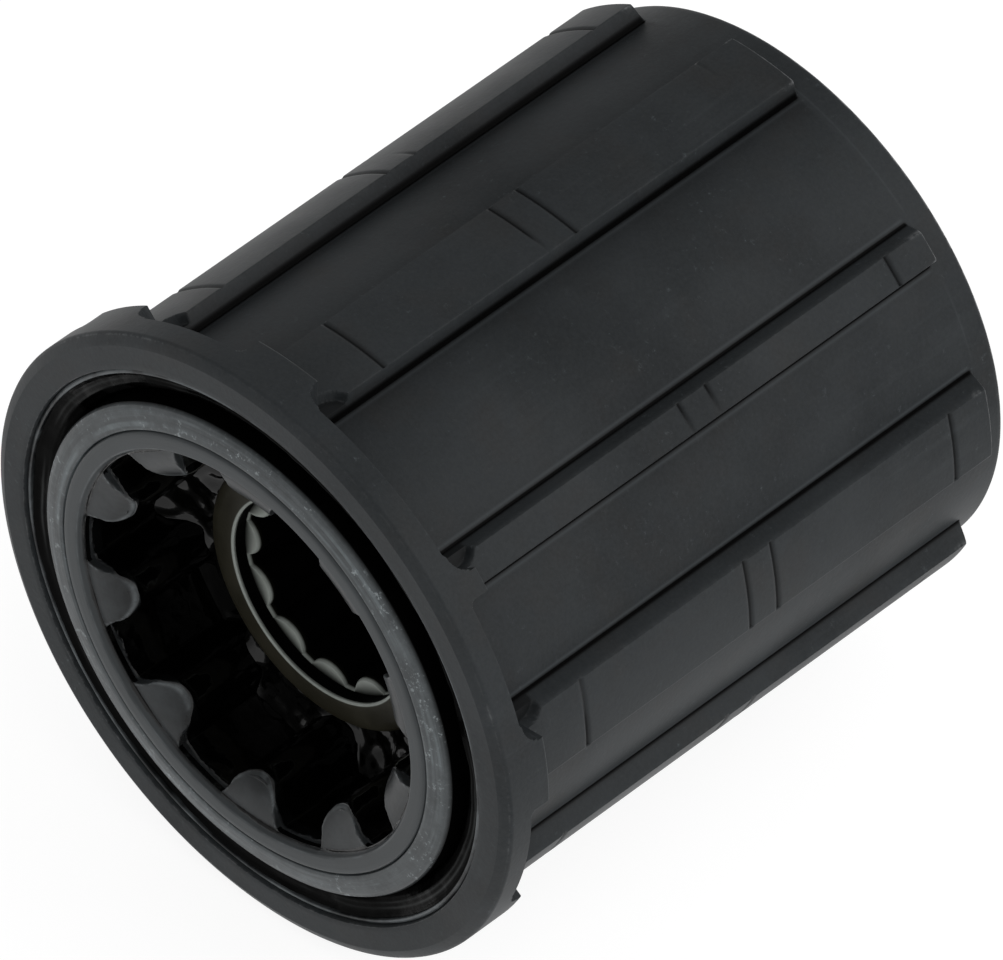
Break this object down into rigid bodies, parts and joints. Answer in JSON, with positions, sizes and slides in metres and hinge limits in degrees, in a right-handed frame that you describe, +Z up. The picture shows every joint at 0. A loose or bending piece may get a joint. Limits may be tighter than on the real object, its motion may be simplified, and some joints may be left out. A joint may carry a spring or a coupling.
{
  "type": "cassette freehub body",
  "caption": "Splined sprocket carrier turning on ball rows round an inner body with a lobed socket, sprung pawls, seals and a hollow fixing bolt.",
  "frame": {"origin": "centre of the hub socket's mouth, in the plane of the inboard face that seats on the hub shell", "axes": "+Y along the spin axis, pointing outboard; +Z up; +X completes the right-handed frame"},
  "size_m": [0.0373, 0.0396, 0.0372],
  "materials": {
    "carrier_steel": "black phosphate, matt, worn bright on sharp edges",
    "inner_steel": "black phosphate, ground faces, oiled",
    "ring_steel": "dark blued steel, finely brushed",
    "seal_steel": "thin dark steel, satin",
    "bolt_steel": "yellowish plated steel under oil",
    "washer_steel": "plain steel",
    "ball_steel": "polished",
    "pawl_steel": "hardened, ground",
    "spring_steel": "spring strip",
    "rubber": "black rubber, greased"
  },
  "bodies": {
    "inner_body": {"pawl_carrier": "inner_steel", "inboard_ring": "ring_steel", "fixing_bolt": "bolt_steel", "bolt_washer": "washer_steel", "pawl_spring_1": "spring_steel", "pawl_spring_2": "spring_steel", "pawl_spring_3": "spring_steel", "shim_thin": "washer_steel", "shim_thick": "washer_steel", "outboard_cup": "inner_steel", "outboard_seal": "rubber", "dust_cap": "seal_steel", "dust_cap_seal": "rubber"},
    "carrier": {"cassette_carrier": "carrier_steel", "inboard_seal": "rubber", "seal_case": "seal_steel"},
    "inboard_row": {"inboard_balls": "ball_steel"},
    "outboard_row": {"outboard_balls": "ball_steel"},
    "first_pawl": {"pawl_1": "pawl_steel"},
    "second_pawl": {"pawl_2": "pawl_steel"},
    "third_pawl": {"pawl_3": "pawl_steel"}
  },
  "joints": [
    {"name": "carrier_spin", "type": "hinge", "parent": "inner_body", "child": "carrier", "pos_m": [0, 0.0198, 0], "axis": [0, 1, 0], "continuous": true},
    {"name": "inboard_row_roll", "type": "hinge", "parent": "inner_body", "child": "inboard_row", "pos_m": [0, 0.0109, 0], "axis": [0, 1, 0], "continuous": true},
    {"name": "outboard_row_roll", "type": "hinge", "parent": "inner_body", "child": "outboard_row", "pos_m": [0, 0.0283, 0], "axis": [0, 1, 0], "continuous": true},
    {"name": "pawl_1_pivot", "type": "hinge", "parent": "inner_body", "child": "first_pawl", "pos_m": [0.00287, 0.0175, 0.01072], "axis": [0, 1, 0], "range_deg": [-15, 0], "stiffness_Nm_per_rad": 0.004, "springref_deg": -32.09, "deforming": ["pawl_spring_1"]},
    {"name": "pawl_2_pivot", "type": "hinge", "parent": "inner_body", "child": "second_pawl", "pos_m": [-0.01072, 0.0175, -0.00287], "axis": [0, 1, 0], "range_deg": [-15, 0], "stiffness_Nm_per_rad": 0.004, "springref_deg": -32.09, "deforming": ["pawl_spring_2"]},
    {"name": "pawl_3_pivot", "type": "hinge", "parent": "inner_body", "child": "third_pawl", "pos_m": [0.00785, 0.0175, -0.00785], "axis": [0, 1, 0], "range_deg": [-15, 0], "stiffness_Nm_per_rad": 0.004, "springref_deg": -32.09, "deforming": ["pawl_spring_3"]}
  ],
  "couplings": [
    {"joint": "inboard_row_roll", "follows": "carrier_spin", "ratio": 0.542},
    {"joint": "outboard_row_roll", "follows": "carrier_spin", "ratio": 0.542}
  ]
}
